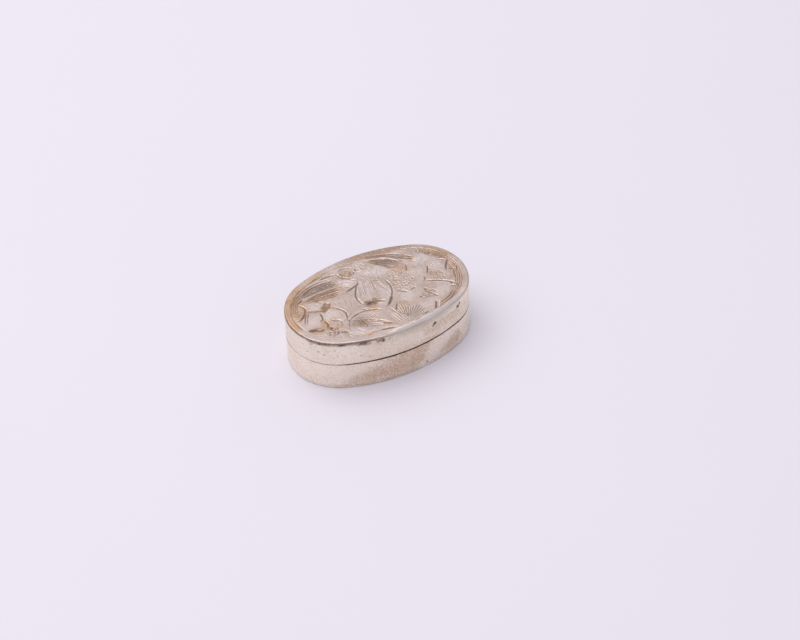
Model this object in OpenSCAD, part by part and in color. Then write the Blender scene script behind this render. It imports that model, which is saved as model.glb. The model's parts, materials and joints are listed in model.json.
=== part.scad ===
// Oval hinged pill box of silver sheet: a soldered base, a soldered lid with a flat plate
// for engraving, and a five-knuckle hinge on the back.
// Frame: +X along the length, -Y is the front, +Z up. The origin is the centre of the
// oval on the surface that the box stands on. The lid is closed.

/* [Outline] */
// Length of the box across its rounded ends
box_length = 40; // [36:0.5:44]
// Distance between the centres of the two rounded ends
centre_spread = 17.4; // [16.6:0.2:18.2]

/* [Heights] */
// Height of the engraved top above the table
box_height = 12.15; // [11:0.05:14]
// Height of the middle of the seam between base and lid
seam_height = 6.3; // [5:0.1:7]
// Gap between the rims of base and lid when closed
rim_gap = 0.12; // [0.06:0.02:0.2]

/* [Sheet] */
// Thickness of the bottom plate
base_plate_t = 0.6; // [0.4:0.05:0.9]
// Thickness of the engraved lid plate
lid_plate_t = 0.4; // [0.35:0.05:0.8]
// Thickness of the base wall
base_wall_t = 0.9; // [0.8:0.05:1]
// Thickness of the lid wall
lid_wall_t = 0.75; // [0.7:0.05:0.8]
// Thickness of the bezel, the inner band that guides the lid
bezel_t = 0.45; // [0.3:0.05:0.6]
// How far the bezel stands above the seam
bezel_rise = 1.3; // [0.8:0.1:1.8]

/* [Lid border] */
// Width of the plain margin around the engraved field
margin_w = 1.32; // [1:0.02:1.8]
// Width of the worn slope along the plate's edge
edge_slope_w = 0.3; // [0.15:0.05:0.4]
// Height of that slope
edge_slope_h = 0.15; // [0.1:0.05:0.2]
// Width of the border line cut around the field
border_w = 0.22; // [0.15:0.01:0.4]
// Depth of the border line
border_depth = 0.08; // [0.04:0.01:0.15]

/* [Hinge] */
// Outer radius of the hinge tube
knuckle_r = 0.85; // [0.75:0.05:0.9]
// Radius of the hinge pin
pin_r = 0.4; // [0.3:0.05:0.45]
// Running clearance around the pin
pin_play = 0.03; // [0.02:0.01:0.05]
// Length of the whole hinge tube
hinge_length = 9; // [7:0.5:10]
// Gap between neighbouring knuckles
knuckle_gap = 0.08; // [0.05:0.01:0.12]
// Distance of the hinge axis behind the back wall
axis_offset = 0.35; // [0.3:0.05:0.5]

/* [Hidden] */
$fn = 240;

// The oval is four tangent arcs: two ends around (+-end_centre, 0) and two sides
// around (0, -+side_centre). A line from a side's centre through an end's centre meets
// the outline where the arcs meet. It rises 12 for each 5 that it runs, and a triangle
// with sides of 5, 12 and 13 keeps every number short.
rise = 12;
run = 5;
slant = 13;
half_length = box_length / 2;
end_centre = centre_spread / 2;
end_radius = half_length - end_centre;
side_centre = end_centre * rise / run;
side_radius = end_radius + end_centre * slant / run;
half_width = side_radius - side_centre;
// A point on that line outside the oval
wedge_y = 18;
wedge_x = end_centre + wedge_y * run / rise;

base_rim_z = seam_height - rim_gap / 2;
lid_rim_z = seam_height + rim_gap / 2;
lid_joint_z = box_height - lid_plate_t;
bezel_top_z = seam_height + bezel_rise;

foot_chamfer = 0.2;
rim_chamfer = 0.1;
bezel_lead = 0.15;

knuckle_count = 5;
knuckle_length = (hinge_length - (knuckle_count - 1) * knuckle_gap) / knuckle_count;
knuckle_pitch = knuckle_length + knuckle_gap;
groove_play = 0.1;
hinge_y = half_width + axis_offset;
leaf_height = 1.7;
leaf_reach = 1.2;
// Where a leaf leaves the hinge tube, behind and above the axis
leaf_root_y = 0.15;
leaf_root_z = knuckle_r - 0.05;
pin_head_r = 0.55;
pin_head_t = 0.2;

bearer_length = 10;
bearer_t = 0.5;
bearer_height = 2;
notch_play = 0.3;
bezel_notch_length = bearer_length + 2 * notch_play;

pip_r = 0.6;
pip_stand = 0.08;
pip_spacing = 9;

EPS = 0.01;
// How far a cutting solid runs past what it cuts
overcut = 1;

// Solid of the oval outline from z0 to z1, drawn in by inset0 at z0 and inset1 at z1.
// The inset outline is exactly parallel, because all four arcs keep their centres.
module oval(z0, z1, inset0, inset1) {
    for (side = [-1, 1]) {
        arc_sector(z0, z1, [side * end_centre, 0], end_radius, inset0, inset1)
            end_outline(side);
        arc_sector(z0, z1, [0, -side * side_centre], side_radius, inset0, inset1)
            side_outline(side);
    }
}

// The part of a cone around centre that stands over the child's outline
module arc_sector(z0, z1, centre, radius, inset0, inset1) {
    intersection() {
        translate([centre.x, centre.y, z0])
            cylinder(h = z1 - z0, r1 = radius - inset0, r2 = radius - inset1);
        translate([0, 0, z0])
            linear_extrude(height = z1 - z0)
                children();
    }
}

// The part of the plan that one side arc bounds
module side_outline(side) {
    polygon([
        [-end_centre, 0], [end_centre, 0],
        [wedge_x, side * wedge_y], [-wedge_x, side * wedge_y]
    ]);
}

// The part of the plan that one end arc bounds
module end_outline(side) {
    far = side * box_length;
    polygon([
        [side * end_centre, 0], [side * wedge_x, wedge_y], [far, wedge_y],
        [far, -wedge_y], [side * wedge_x, -wedge_y]
    ]);
}

// Band between two parallel outlines
module band(z0, z1, outer_inset, thickness) {
    difference() {
        oval(z0, z1, outer_inset, outer_inset);
        oval(z0 - overcut, z1 + overcut, outer_inset + thickness, outer_inset + thickness);
    }
}

module along_hinge(x, length, radius) {
    translate([x - length / 2, hinge_y, seam_height])
        rotate([0, 90, 0])
            cylinder(h = length, r = radius);
}

function knuckle_x(i) = (i - (knuckle_count - 1) / 2) * knuckle_pitch;

// Seats for the knuckles in a wall: a close one for the wall's own knuckles, and a
// wider one where the other body's knuckles turn.
module knuckle_seats(own_first) {
    for (i = [0 : knuckle_count - 1]) {
        own = i % 2 == own_first;
        along_hinge(
            knuckle_x(i),
            own ? knuckle_length : knuckle_length + 2 * knuckle_gap,
            own ? knuckle_r : knuckle_r + groove_play
        );
    }
}

// Knuckle i with the solder leaf that joins it to its wall; side is -1 for the base,
// below the seam, and 1 for the lid, above it.
module knuckle(i, side) {
    difference() {
        union() {
            along_hinge(knuckle_x(i), knuckle_length, knuckle_r);
            difference() {
                translate([knuckle_x(i) - knuckle_length / 2, hinge_y, seam_height])
                    rotate([90, 0, 90])
                        linear_extrude(height = knuckle_length)
                            polygon([
                                [-leaf_reach, side * rim_gap],
                                [-leaf_reach, side * (leaf_height + leaf_reach / 2)],
                                [leaf_root_y, side * leaf_root_z],
                                [0, side * rim_gap]
                            ]);
                oval(0, box_height, 0, 0);
            }
        }
        along_hinge(knuckle_x(i), knuckle_length + overcut, pin_r + pin_play);
    }
}

module base_plate() {
    color("#cfc4ba") {
        oval(0, foot_chamfer, foot_chamfer, 0);
        oval(foot_chamfer, base_plate_t, 0, 0);
    }
}

module base_wall() {
    color("#d6cbbf")
        difference() {
            union() {
                oval(base_plate_t, base_rim_z - rim_chamfer, 0, 0);
                oval(base_rim_z - rim_chamfer, base_rim_z, 0, rim_chamfer);
            }
            oval(0, box_height, base_wall_t, base_wall_t);
            knuckle_seats(0);
        }
}

// Inner band with a lead-in at the top, a notch for the hinge bearer at the back and
// two pips at the front that hold the lid by friction.
module bezel() {
    color("#ddd6cc")
        difference() {
            union() {
                oval(base_plate_t, bezel_top_z - bezel_lead, base_wall_t, base_wall_t);
                oval(bezel_top_z - bezel_lead, bezel_top_z, base_wall_t, base_wall_t + bezel_lead);
                for (side = [-1, 1])
                    pip(side * pip_spacing / 2);
            }
            oval(0, box_height, base_wall_t + bezel_t, base_wall_t + bezel_t);
            translate([-bezel_notch_length / 2, 0, base_rim_z])
                cube([bezel_notch_length, half_width, bezel_rise + overcut]);
        }
}

// Low round bump on the front of the bezel at distance x from the middle
module pip(x) {
    surface_r = side_radius - base_wall_t;
    surface_y = side_centre - sqrt(surface_r * surface_r - x * x);
    translate([x, surface_y + pip_r - pip_stand, seam_height + bezel_rise / 2])
        sphere(r = pip_r);
}

module lid_wall() {
    color("#d9cec2")
        difference() {
            union() {
                oval(lid_rim_z, lid_rim_z + rim_chamfer, rim_chamfer, 0);
                oval(lid_rim_z + rim_chamfer, lid_joint_z, 0, 0);
            }
            oval(0, box_height, lid_wall_t, lid_wall_t);
            knuckle_seats(1);
        }
}

// Flat plate with a worn edge and the border line cut around the field
module lid_plate() {
    color("#c9b6a2")
        difference() {
            union() {
                oval(lid_joint_z, box_height - edge_slope_h, 0, 0);
                oval(box_height - edge_slope_h, box_height, 0, edge_slope_w);
            }
            band(box_height - border_depth, box_height + overcut, margin_w, border_w);
        }
}

// Strip soldered inside the lid wall behind the hinge
module hinge_bearer() {
    color("#ddd6cc")
        intersection() {
            band(lid_rim_z, lid_rim_z + bearer_height, lid_wall_t, bearer_t);
            translate([-bearer_length / 2, 0, 0])
                cube([bearer_length, half_width, box_height]);
        }
}

// Pin with both ends peened over the outer knuckles
module hinge_pin() {
    color("#b9b0a6") {
        along_hinge(0, hinge_length + EPS, pin_r);
        for (side = [-1, 1])
            along_hinge(side * (hinge_length + pin_head_t) / 2, pin_head_t, pin_head_r);
    }
}

module base_knuckle_left() { color("#cbbfb2") knuckle(0, -1); }
module base_knuckle_centre() { color("#cbbfb2") knuckle(2, -1); }
module base_knuckle_right() { color("#cbbfb2") knuckle(4, -1); }
module lid_knuckle_left() { color("#d2c7bb") knuckle(1, 1); }
module lid_knuckle_right() { color("#d2c7bb") knuckle(3, 1); }

base_plate();
base_wall();
bezel();
base_knuckle_left();
base_knuckle_centre();
base_knuckle_right();
hinge_pin();
lid_plate();
lid_wall();
hinge_bearer();
lid_knuckle_left();
lid_knuckle_right();
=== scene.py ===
"""Oval silver pill box: an engraved lid on a soldered base, with a barrel hinge behind.

Every shape is worked out in millimetres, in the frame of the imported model, and turned
into metres when its mesh is made. The box's outline is four tangent arcs, as in the frame.
"""

import json
import math

import bmesh
import bpy
import numpy as np
from mathutils import Matrix, Vector


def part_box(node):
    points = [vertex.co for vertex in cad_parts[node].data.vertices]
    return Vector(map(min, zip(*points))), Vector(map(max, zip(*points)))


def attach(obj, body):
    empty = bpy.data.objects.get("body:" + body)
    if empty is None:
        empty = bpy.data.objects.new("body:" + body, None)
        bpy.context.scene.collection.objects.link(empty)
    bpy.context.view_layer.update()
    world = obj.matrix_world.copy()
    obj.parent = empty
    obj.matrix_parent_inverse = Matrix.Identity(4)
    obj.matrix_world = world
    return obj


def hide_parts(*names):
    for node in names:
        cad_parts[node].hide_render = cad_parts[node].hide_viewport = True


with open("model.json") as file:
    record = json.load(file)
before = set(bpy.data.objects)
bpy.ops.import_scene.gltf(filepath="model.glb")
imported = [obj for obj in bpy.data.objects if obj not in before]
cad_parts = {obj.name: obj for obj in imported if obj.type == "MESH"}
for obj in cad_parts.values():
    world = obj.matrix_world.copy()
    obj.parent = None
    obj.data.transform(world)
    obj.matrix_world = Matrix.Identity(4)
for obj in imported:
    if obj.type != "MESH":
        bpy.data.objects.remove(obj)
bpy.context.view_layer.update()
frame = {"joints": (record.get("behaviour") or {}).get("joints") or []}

MM = 0.001
random = np.random.default_rng(7)


# ---- sizes from the frame

def node_box(name):
    """The lowest and highest corners of a node, in millimetres."""
    low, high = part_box(name)
    return np.array(low) / MM, np.array(high) / MM


HALF_LENGTH, HALF_WIDTH, BASE_PLATE_TOP = node_box("base_plate")[1]
BASE_RIM = node_box("base_wall")[1][2]
LID_RIM, LID_JOINT = node_box("lid_wall")[0][2], node_box("lid_wall")[1][2]
BEZEL_TOP = node_box("bezel")[1][2]
TOP = node_box("lid_plate")[1][2]
SEAM = (BASE_RIM + LID_RIM) / 2
BASE_WALL_T = HALF_LENGTH - node_box("bezel")[1][0]
BEZEL_T = 0.45
LID_WALL_T = 0.75
BEARER_LOW, BEARER_HIGH = node_box("hinge_bearer")
HINGE = np.array(frame["joints"][0]["pos_m"]) / MM
PIN_LOW, PIN_HIGH = node_box("hinge_pin")
BASE, LID = -1, 1  # sides of the seam
KNUCKLES = {
    "base_knuckle_left": BASE, "lid_knuckle_left": LID, "base_knuckle_centre": BASE,
    "lid_knuckle_right": LID, "base_knuckle_right": BASE,
}
KNUCKLE_R = node_box("lid_knuckle_left")[1][1] - HINGE[1]
PIN_R = 0.4
BORE_R = 0.43
GROOVE_PLAY = 0.1  # room between a wall and a knuckle that turns beside it

MARGIN = 1.32  # the lid plate's plain margin, outside its engraved field
BORDER_W = 0.22  # the groove between the two


# ---- the oval outline

ARC_TURN = math.atan2(12, 5)
UNIT = (HALF_LENGTH - HALF_WIDTH) / 4
END_CENTRE, SIDE_CENTRE = 5 * UNIT, 12 * UNIT
END_R = HALF_LENGTH - END_CENTRE
SIDE_R = END_R + 13 * UNIT


def normal_angles(count):
    """Directions of the outline's normal at places spaced evenly along it."""
    end, side = END_R * ARC_TURN, 2 * SIDE_R * (math.pi / 2 - ARC_TURN)
    lengths = np.cumsum([0, end, side, 2 * end, side, end])
    turns = [0, ARC_TURN, math.pi - ARC_TURN, math.pi + ARC_TURN, 2 * math.pi - ARC_TURN, 2 * math.pi]
    return np.interp(np.linspace(0, lengths[-1], count, endpoint=False), lengths, turns)


def on_outline(angle, inset):
    """Points of the outline drawn in by inset, where its normal has the given direction."""
    angle, inset = np.broadcast_arrays(angle, inset)
    c, s = np.cos(angle), np.sin(angle)
    at_end = np.arctan2(np.abs(s), np.abs(c)) < ARC_TURN
    centre_x = np.where(at_end, np.sign(c) * END_CENTRE, 0)
    centre_y = np.where(at_end, 0, -np.sign(s) * SIDE_CENTRE)
    radius = np.where(at_end, END_R, SIDE_R) - inset
    return centre_x + radius * c, centre_y + radius * s


def outline_of(x, y):
    """(inset, direction of the normal) of points in plan."""
    at_end = (np.abs(x) > END_CENTRE) & (
        np.arctan2(np.abs(y), np.abs(x) - END_CENTRE) < ARC_TURN
    )
    dx = np.where(at_end, x - np.sign(x) * END_CENTRE, x)
    dy = np.where(at_end, y, y + np.where(y < 0, -1, 1) * SIDE_CENTRE)
    inset = np.where(at_end, END_R, SIDE_R) - np.hypot(dx, dy)
    return inset, np.arctan2(dy, dx)


def reach(direction, inset):
    """Distance from the centre to the inset outline along a direction."""
    c, s = np.abs(np.cos(direction)), np.abs(np.sin(direction))
    end_r, side_r = END_R - inset, SIDE_R - inset
    to_end = END_CENTRE * c + np.sqrt(np.maximum(end_r ** 2 - (END_CENTRE * s) ** 2, 0))
    to_side = -SIDE_CENTRE * s + np.sqrt(side_r ** 2 - (SIDE_CENTRE * c) ** 2)
    turn = np.arctan2(to_end * s, to_end * c - END_CENTRE)
    return np.where(turn < ARC_TURN, to_end, to_side)


def smooth(value, low, high):
    """0 below low, 1 above high, and an even step between."""
    t = np.clip((value - low) / (high - low), 0, 1)
    return t * t * (3 - 2 * t)


def fade(value, low, high):
    """1 below low, 0 above high, and an even step between."""
    return 1 - smooth(value, low, high)


def band(value, low_from, low_to, high_from, high_to):
    """1 between two even steps, the first up and the second down, and 0 outside them."""
    return smooth(value, low_from, low_to) * fade(value, high_from, high_to)


def spot(x, y, place, size, turn=0.0, soft=0.35):
    """1 inside an ellipse in plan, fading to 0 over its soft outer share."""
    c, s = math.cos(math.radians(turn)), math.sin(math.radians(turn))
    u = ((x - place[0]) * c + (y - place[1]) * s) / size[0]
    v = (-(x - place[0]) * s + (y - place[1]) * c) / size[1]
    return fade(np.hypot(u, v), 1 - soft, 1 + soft)


def waves(x, y, z, scale, seed):
    """A smooth field between about -1 and 1, made of a few waves of length near scale.
    A z of 0 gives a field in plan."""
    draw = np.random.default_rng(seed)
    total = np.zeros_like(x)
    for _ in range(6):
        way = draw.normal(size=3)
        way *= 2 * math.pi / (scale * draw.uniform(0.7, 1.5) * np.linalg.norm(way))
        total += np.sin(x * way[0] + y * way[1] + z * way[2] + draw.uniform(0, 6.3))
    return total / 3


# ---- meshes

def make_piece(name, points, faces, material, side, sharp=40, **marks):
    """A piece from points in millimetres that stands for the CAD node of its name, and rides
    on the base or the lid. Its marks become mesh attributes that its material reads."""
    mesh = bpy.data.meshes.new(name)
    mesh.from_pydata((np.asarray(points) * MM).tolist(), [], faces)
    shell = bmesh.new()
    shell.from_mesh(mesh)
    bmesh.ops.recalc_face_normals(shell, faces=shell.faces)
    shell.to_mesh(mesh)
    shell.free()
    mesh.polygons.foreach_set("use_smooth", [True] * len(mesh.polygons))
    mesh.set_sharp_from_angle(angle=math.radians(sharp))
    for mark, values in marks.items():
        data = mesh.attributes.new(mark, "FLOAT", "POINT").data
        data.foreach_set("value", np.asarray(values, dtype=np.float32))
    mesh.materials.append(material)
    piece = bpy.data.objects.new(name, mesh)
    bpy.context.scene.collection.objects.link(piece)
    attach(piece, "base" if side == BASE else "lid")
    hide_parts(name)


def loop_faces(rings, count, closed=False, first=0):
    """Quads between rings of count points each, and from the last to the first if closed."""
    faces = []
    for ring in range(rings if closed else rings - 1):
        low, high = first + ring * count, first + (ring + 1) % rings * count
        faces += [
            (low + i, low + (i + 1) % count, high + (i + 1) % count, high + i)
            for i in range(count)
        ]
    return faces


def arc(centre, radius, start, end, steps):
    """Points (inset or radius, height) of an arc, from start to end in degrees."""
    turns = np.radians(np.linspace(start, end, steps))
    return [(centre[0] + radius * math.cos(t), centre[1] + radius * math.sin(t)) for t in turns]


def line(start, end, steps):
    """Evenly spaced points from start towards end, without end."""
    return [
        tuple(np.array(start) + (np.array(end) - np.array(start)) * i / steps)
        for i in range(steps)
    ]


def sweep_oval(profile, angles):
    """A band that carries a closed profile of (inset, z) round the oval."""
    points = []
    for inset, z in profile:
        x, y = on_outline(angles, inset)
        points.append(np.column_stack([x, y, np.full_like(x, z)]))
    return np.vstack(points), loop_faces(len(profile), len(angles), closed=True)


def round_turns(steps):
    """Evenly spaced turns round a full circle."""
    return np.linspace(0, 2 * math.pi, steps, endpoint=False)


def tube_rings(rings, steps):
    """Points round the hinge axis for rings of (x, radius), the radius one value or one a step."""
    turns = round_turns(steps)
    return np.vstack([
        np.column_stack([
            np.full(steps, x), HINGE[1] + radius * np.cos(turns), HINGE[2] + radius * np.sin(turns)
        ])
        for x, radius in rings
    ])


# ---- wear on the lid and walls

def front_right_wear(direction):
    """How far the lid's shoulder is rubbed down, from 0 to 1, along the outline."""
    return band(np.degrees(direction), -99, -90, -78, -36)


def front_left_wear(direction):
    """How dull and smooth the lid's margin is at the front left, from 0 to 1."""
    return band(np.degrees(direction), -168, -155, -104, -92)


def wear_lid(points):
    """Rubs the shoulder at the front right down towards a slope, and dents the skin a little."""
    x, y, z = points.T.copy()
    inset, direction = outline_of(x, y)
    slope_run, slope_rise, soft = MARGIN, 1.4, 0.25
    slant = math.hypot(slope_run, slope_rise)
    above = ((z - TOP + slope_rise) * slope_run - inset * slope_rise) / slant
    above += 0.25 * smooth(inset, 0.3, 0.6) * (z < LID_JOINT + 0.01)
    above = np.where(above > soft, above, np.maximum(above + soft, 0) ** 2 / (4 * soft))
    rubbed = 0.8 * front_right_wear(direction) * above
    skin = fade(inset, 0.1, 0.74)
    shift = rubbed * slope_rise / slant
    shift += 0.03 * skin * (1 + waves(x, y, z, 7, 21)) + 0.012 * skin * waves(x, y, z, 2.6, 24)
    shift += 0.02 * skin * smooth(z, LID_JOINT, TOP) * waves(x, y, 0, 1.1, 26)
    x -= shift * np.cos(direction)
    y -= shift * np.sin(direction)
    z -= rubbed * slope_run / slant
    return np.column_stack([x, y, z])


def dent_base(points):
    """Slight dents in the skin of the base."""
    x, y, z = points.T.copy()
    inset, direction = outline_of(x, y)
    skin = fade(inset, 0.25, 0.7)
    shift = 0.03 * skin * (1 + waves(x, y, z, 8, 22)) + 0.012 * skin * waves(x, y, z, 2.8, 25)
    return np.column_stack([x - shift * np.cos(direction), y - shift * np.sin(direction), z])


def rim_wander(direction):
    """Height that the rims stray from level: the seam closes at the left end."""
    closed, opened = 0.045, -0.07
    return closed + (opened - closed) * band(np.degrees(direction), -122, -94, -62, -25)


def seat_knuckles(points, side):
    """Pushes a wall out of the seats that the hinge knuckles turn or lie in."""
    x, y, z = points.T.copy()
    for name, own_side in KNUCKLES.items():
        low, high = node_box(name)
        play = 0 if own_side == side else GROOVE_PLAY
        dy, dz = y - HINGE[1], z - HINGE[2]
        away = np.hypot(dy, dz)
        inside = (x > low[0] - play) & (x < high[0] + play) & (away < KNUCKLE_R + play)
        scale = (KNUCKLE_R + play) / away[inside]
        y[inside] = HINGE[1] + dy[inside] * scale
        z[inside] = HINGE[2] + dz[inside] * scale
    return np.column_stack([x, y, z])


def sink_pits(points, pits):
    """Sinks round pits, each (x, z, radius, depth), into the front of a wall's skin.
    Returns the points and how deep in a pit each one lies, from 0 to 1."""
    x, y, z = points.T.copy()
    inset, direction = outline_of(x, y)
    mark = np.zeros_like(x)
    outer = (inset < 0.3) & (y < 0)
    for place_x, place_z, radius, depth in pits:
        away = np.hypot(x - place_x, (z - place_z) * 1.2) / radius
        pit = outer * fade(away, 0.35, 1)
        x -= depth * pit * np.cos(direction)
        y -= depth * pit * np.sin(direction)
        mark = np.maximum(mark, pit * min(1, depth * 9))
    return np.column_stack([x, y, z]), mark


# ---- the band walls

WALL_COLUMNS = 640
EDGE_R = 0.08


def wall_profile(low, high, thickness, low_edge, high_edge):
    """Closed profile of a wall, dense near both edges, with rounded outer corners."""
    rows = 26
    profile = arc((low_edge, low + low_edge), low_edge, 270, 180, 5)
    profile += line((0, low + low_edge), (0, high - high_edge), rows)[1:]
    profile += arc((high_edge, high - high_edge), high_edge, 180, 90, 5)
    profile += line((high_edge, high), (thickness - EDGE_R, high), 3)[1:]
    profile += arc((thickness - EDGE_R, high - EDGE_R), EDGE_R, 90, 0, 3)
    profile += line((thickness, high - EDGE_R), (thickness, low), 10)[1:]
    profile += line((thickness, low), (low_edge, low), 3)
    return profile


def wall_marks(points, side):
    """Stain on a wall, and its darkening: painted shade along the seam, deeper where the seam opens, and
    darker round the hinge knuckles.
    """
    x, y, z = points.T
    inset, direction = outline_of(x, y)
    outer = fade(inset, 0.3, 0.6)
    ragged = waves(x, y, z, 2.2, 31) * 0.35 + waves(x, y, z, 0.9, 32) * 0.3
    if side == BASE:
        patch = smooth(x - 1.6 * z + ragged, -17.8, -12.5)
        patch *= fade(x - 0.75 * z + ragged, 0.3, 2.9)
        patch *= 0.5 + 0.5 * smooth(z, 0.9, 2.6) - 0.4 * smooth(z, 2.5, 5.0) * fade(x, -6, 1)
        far_patch = smooth(x - 1.3 * z + ragged, 4.8, 7.4) * fade(x + ragged, 13, 15.2)
        far_patch *= fade(z + ragged, 3.6, 5.0) * (0.35 + 0.65 * smooth(z, 0.8, 2.2))
        stain = np.maximum(patch, 0.8 * far_patch) * fade(y, -3, 1)
    else:
        warm = 0.26 * smooth(x + ragged, -10, -7)
        golden = 0.7 * band(x + ragged, 2.5, 5, 12.5, 15)
        near_gap = 0.55 * smooth(x + ragged, -4.5, -0.5) * fade(x, 6, 11)
        near_gap *= fade(z + 0.4 * ragged, 7.2, 8.6)
        stain = np.maximum(warm, golden * smooth(z, 7.6, 8.6)) * fade(z, 10.0, 10.7)
        stain = np.maximum(stain, near_gap) * fade(y, -3, 1)
    behind = smooth(y, 6, 11) * (0.3 + 0.3 * ragged)
    stain = np.clip(np.maximum(stain, behind) * outer, 0, 1)
    # painted shade along the seam, deeper where it opens
    to_seam = np.abs(z - SEAM) + rim_wander(direction)
    grime = 0.85 * fade(to_seam, 0.06, 0.2) * outer
    past_pin = np.maximum(np.abs(x) - PIN_HIGH[0], 0)
    hinge_away = np.sqrt(past_pin ** 2 + (y - HINGE[1]) ** 2 + (z - HINGE[2]) ** 2)
    grime = np.maximum(grime, 0.8 * fade(hinge_away + 0.2 * ragged, 0.8, 1.6))
    return stain, grime


def build_wall(name, side, wall_silver, profile, rim, pits):
    """A band wall: worn, bent a little at its rim, pitted, and cut out for the knuckles."""
    points, faces = sweep_oval(profile, normal_angles(WALL_COLUMNS))
    points = wear_lid(points) if side == LID else dent_base(points)
    direction = outline_of(points[:, 0], points[:, 1])[1]
    points[:, 2] -= side * rim_wander(direction) * fade(np.abs(points[:, 2] - rim), 0, 0.4)
    points, sunk = sink_pits(points, pits)
    points = seat_knuckles(points, side)
    stain, grime = wall_marks(points, side)
    if side == LID:
        grime = np.maximum(grime, joint_grime(points))
    make_piece(name, points, faces, wall_silver, side, stain=stain, grime=np.maximum(grime, sunk))


def build_walls(base_silver, lid_silver):
    profile = wall_profile(BASE_PLATE_TOP, BASE_RIM, BASE_WALL_T, 0.03, 0.1)
    pits = [(4.6, 0.95, 0.32, 0.12), (-3.0, 6.0, 0.25, 0.08)] + specks(60, 0.8, 5.9, 91)
    build_wall("base_wall", BASE, base_silver, profile, BASE_RIM, pits)

    profile = wall_profile(LID_RIM, LID_JOINT, LID_WALL_T, 0.1, 0.07)
    pits = [
        (-8.7, 11.25, 0.5, 0.1), (-5.1, 11.05, 0.6, 0.12), (6.9, 10.2, 0.62, 0.2),
        (6.5, 9.8, 0.36, 0.12), (13.3, 10.4, 0.62, 0.18), (13.9, 10.8, 0.4, 0.12),
        (11.2, 10.1, 0.3, 0.06), (-14.6, 10.2, 0.3, 0.05), (-9.6, 8.2, 0.3, 0.04), (-8.0, 7.6, 0.3, 0.04),
        (-18.2, 10.9, 0.35, 0.06), (-17.2, 9.4, 0.3, 0.06), (-16.4, 8.8, 0.3, 0.05),
    ] + specks(62, 6.8, 11.2, 92)
    build_wall("lid_wall", LID, lid_silver, profile, LID_RIM, pits)


def specks(count, low_z, high_z, seed):
    """Small pits scattered over the front of a wall, more of them to the left."""
    draw = np.random.default_rng(seed)
    return [
        (19.5 - 39 * draw.uniform() ** 0.45, draw.uniform(low_z, high_z), draw.uniform(0.1, 0.22),
         draw.uniform(0.015, 0.045))
        for _ in range(count)
    ]


def joint_grime(points):
    """Dirt in the solder joint between the lid's wall and its plate, a darker smear below it at the front
    left, and painted shade darkening the top of the wall along the front.
    """
    x, y, z = points.T
    inset, direction = outline_of(x, y)
    turn = np.degrees(direction)
    open_joint = 1 - band(turn, -103, -95, -50, -10)
    open_joint *= 0.55 + 0.45 * smooth(waves(x, y, z, 2.5, 41), -0.6, 0.5)
    strong = band(turn, -160, -145, -106, -101)
    width = 0.1 + 0.2 * strong
    line_mark = fade(np.abs(z - LID_JOINT + 0.15 * strong), width * 0.5, width * 1.4)
    dirt = line_mark * open_joint * (0.6 + 0.4 * strong) * fade(inset, 0.3, 0.5)
    smear = smooth(waves(x, y, 1.5 * z, 1.6, 42), -0.5, 0.6) * smooth(z, 10.7, 11.1)
    smear *= band(x, -12, -9.5, -5, -1.5) * (y < 0)
    dirt = np.maximum(dirt, 0.75 * smear * fade(inset, 0.3, 0.5))
    # painted shade: the top of the wall along the front, darkened to the tone of the worn shoulder
    painted_shade_top = band(turn, -110, -100, -76, -66) * smooth(z, 9.9, 10.7)
    return np.maximum(dirt, 0.2 * painted_shade_top * fade(inset, 0.5, 0.8))


def build_bezel(inner_silver):
    notch_x = BEARER_HIGH[0] + 0.3
    notch = math.acos(notch_x / (SIDE_R - BASE_WALL_T))
    sides = [notch, math.pi - notch]
    angles = np.sort(np.concatenate([
        normal_angles(480), [side + shift for side in sides for shift in (-2e-4, 2e-4)]
    ]))
    inner = BASE_WALL_T + BEZEL_T
    lead = 0.16
    profile = line((BASE_WALL_T, BASE_PLATE_TOP), (BASE_WALL_T, BEZEL_TOP - lead), 12)
    profile += arc((BASE_WALL_T + lead, BEZEL_TOP - lead), lead, 180, 90, 5)
    profile += arc((inner - EDGE_R, BEZEL_TOP - EDGE_R), EDGE_R, 90, 0, 4)
    profile += line((inner, BEZEL_TOP - EDGE_R), (inner, BASE_PLATE_TOP), 12)[1:]
    profile += [(inner, BASE_PLATE_TOP)]
    points, faces = sweep_oval(profile, angles)
    x, y, z = points.T
    in_notch = (np.abs(x) < notch_x) & (y > 0)
    points[in_notch, 2] = np.minimum(z[in_notch], BASE_RIM - 0.02)
    stain = 0.5 * fade(z, BASE_PLATE_TOP, BASE_PLATE_TOP + 1.5)
    stain = np.maximum(stain, 0.35 * smooth(waves(x, y, z, 5, 51), 0.1, 0.9))
    grime = np.where(np.abs(z - SEAM) < 0.25, 0.9, 0) + 0.8 * (z < BASE_PLATE_TOP + 0.12)
    for pip_x in (-4.5, 4.5):
        pip, pip_faces = dome_on_front(pip_x, SEAM + 0.65, 0.6, 0.08, len(points))
        points = np.vstack([points, pip])
        faces += pip_faces
    on_pips = np.zeros(len(points) - len(stain))
    stain, grime = np.append(stain, on_pips), np.append(grime, on_pips)
    make_piece("bezel", points, faces, inner_silver, BASE, stain=stain, grime=grime)


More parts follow.
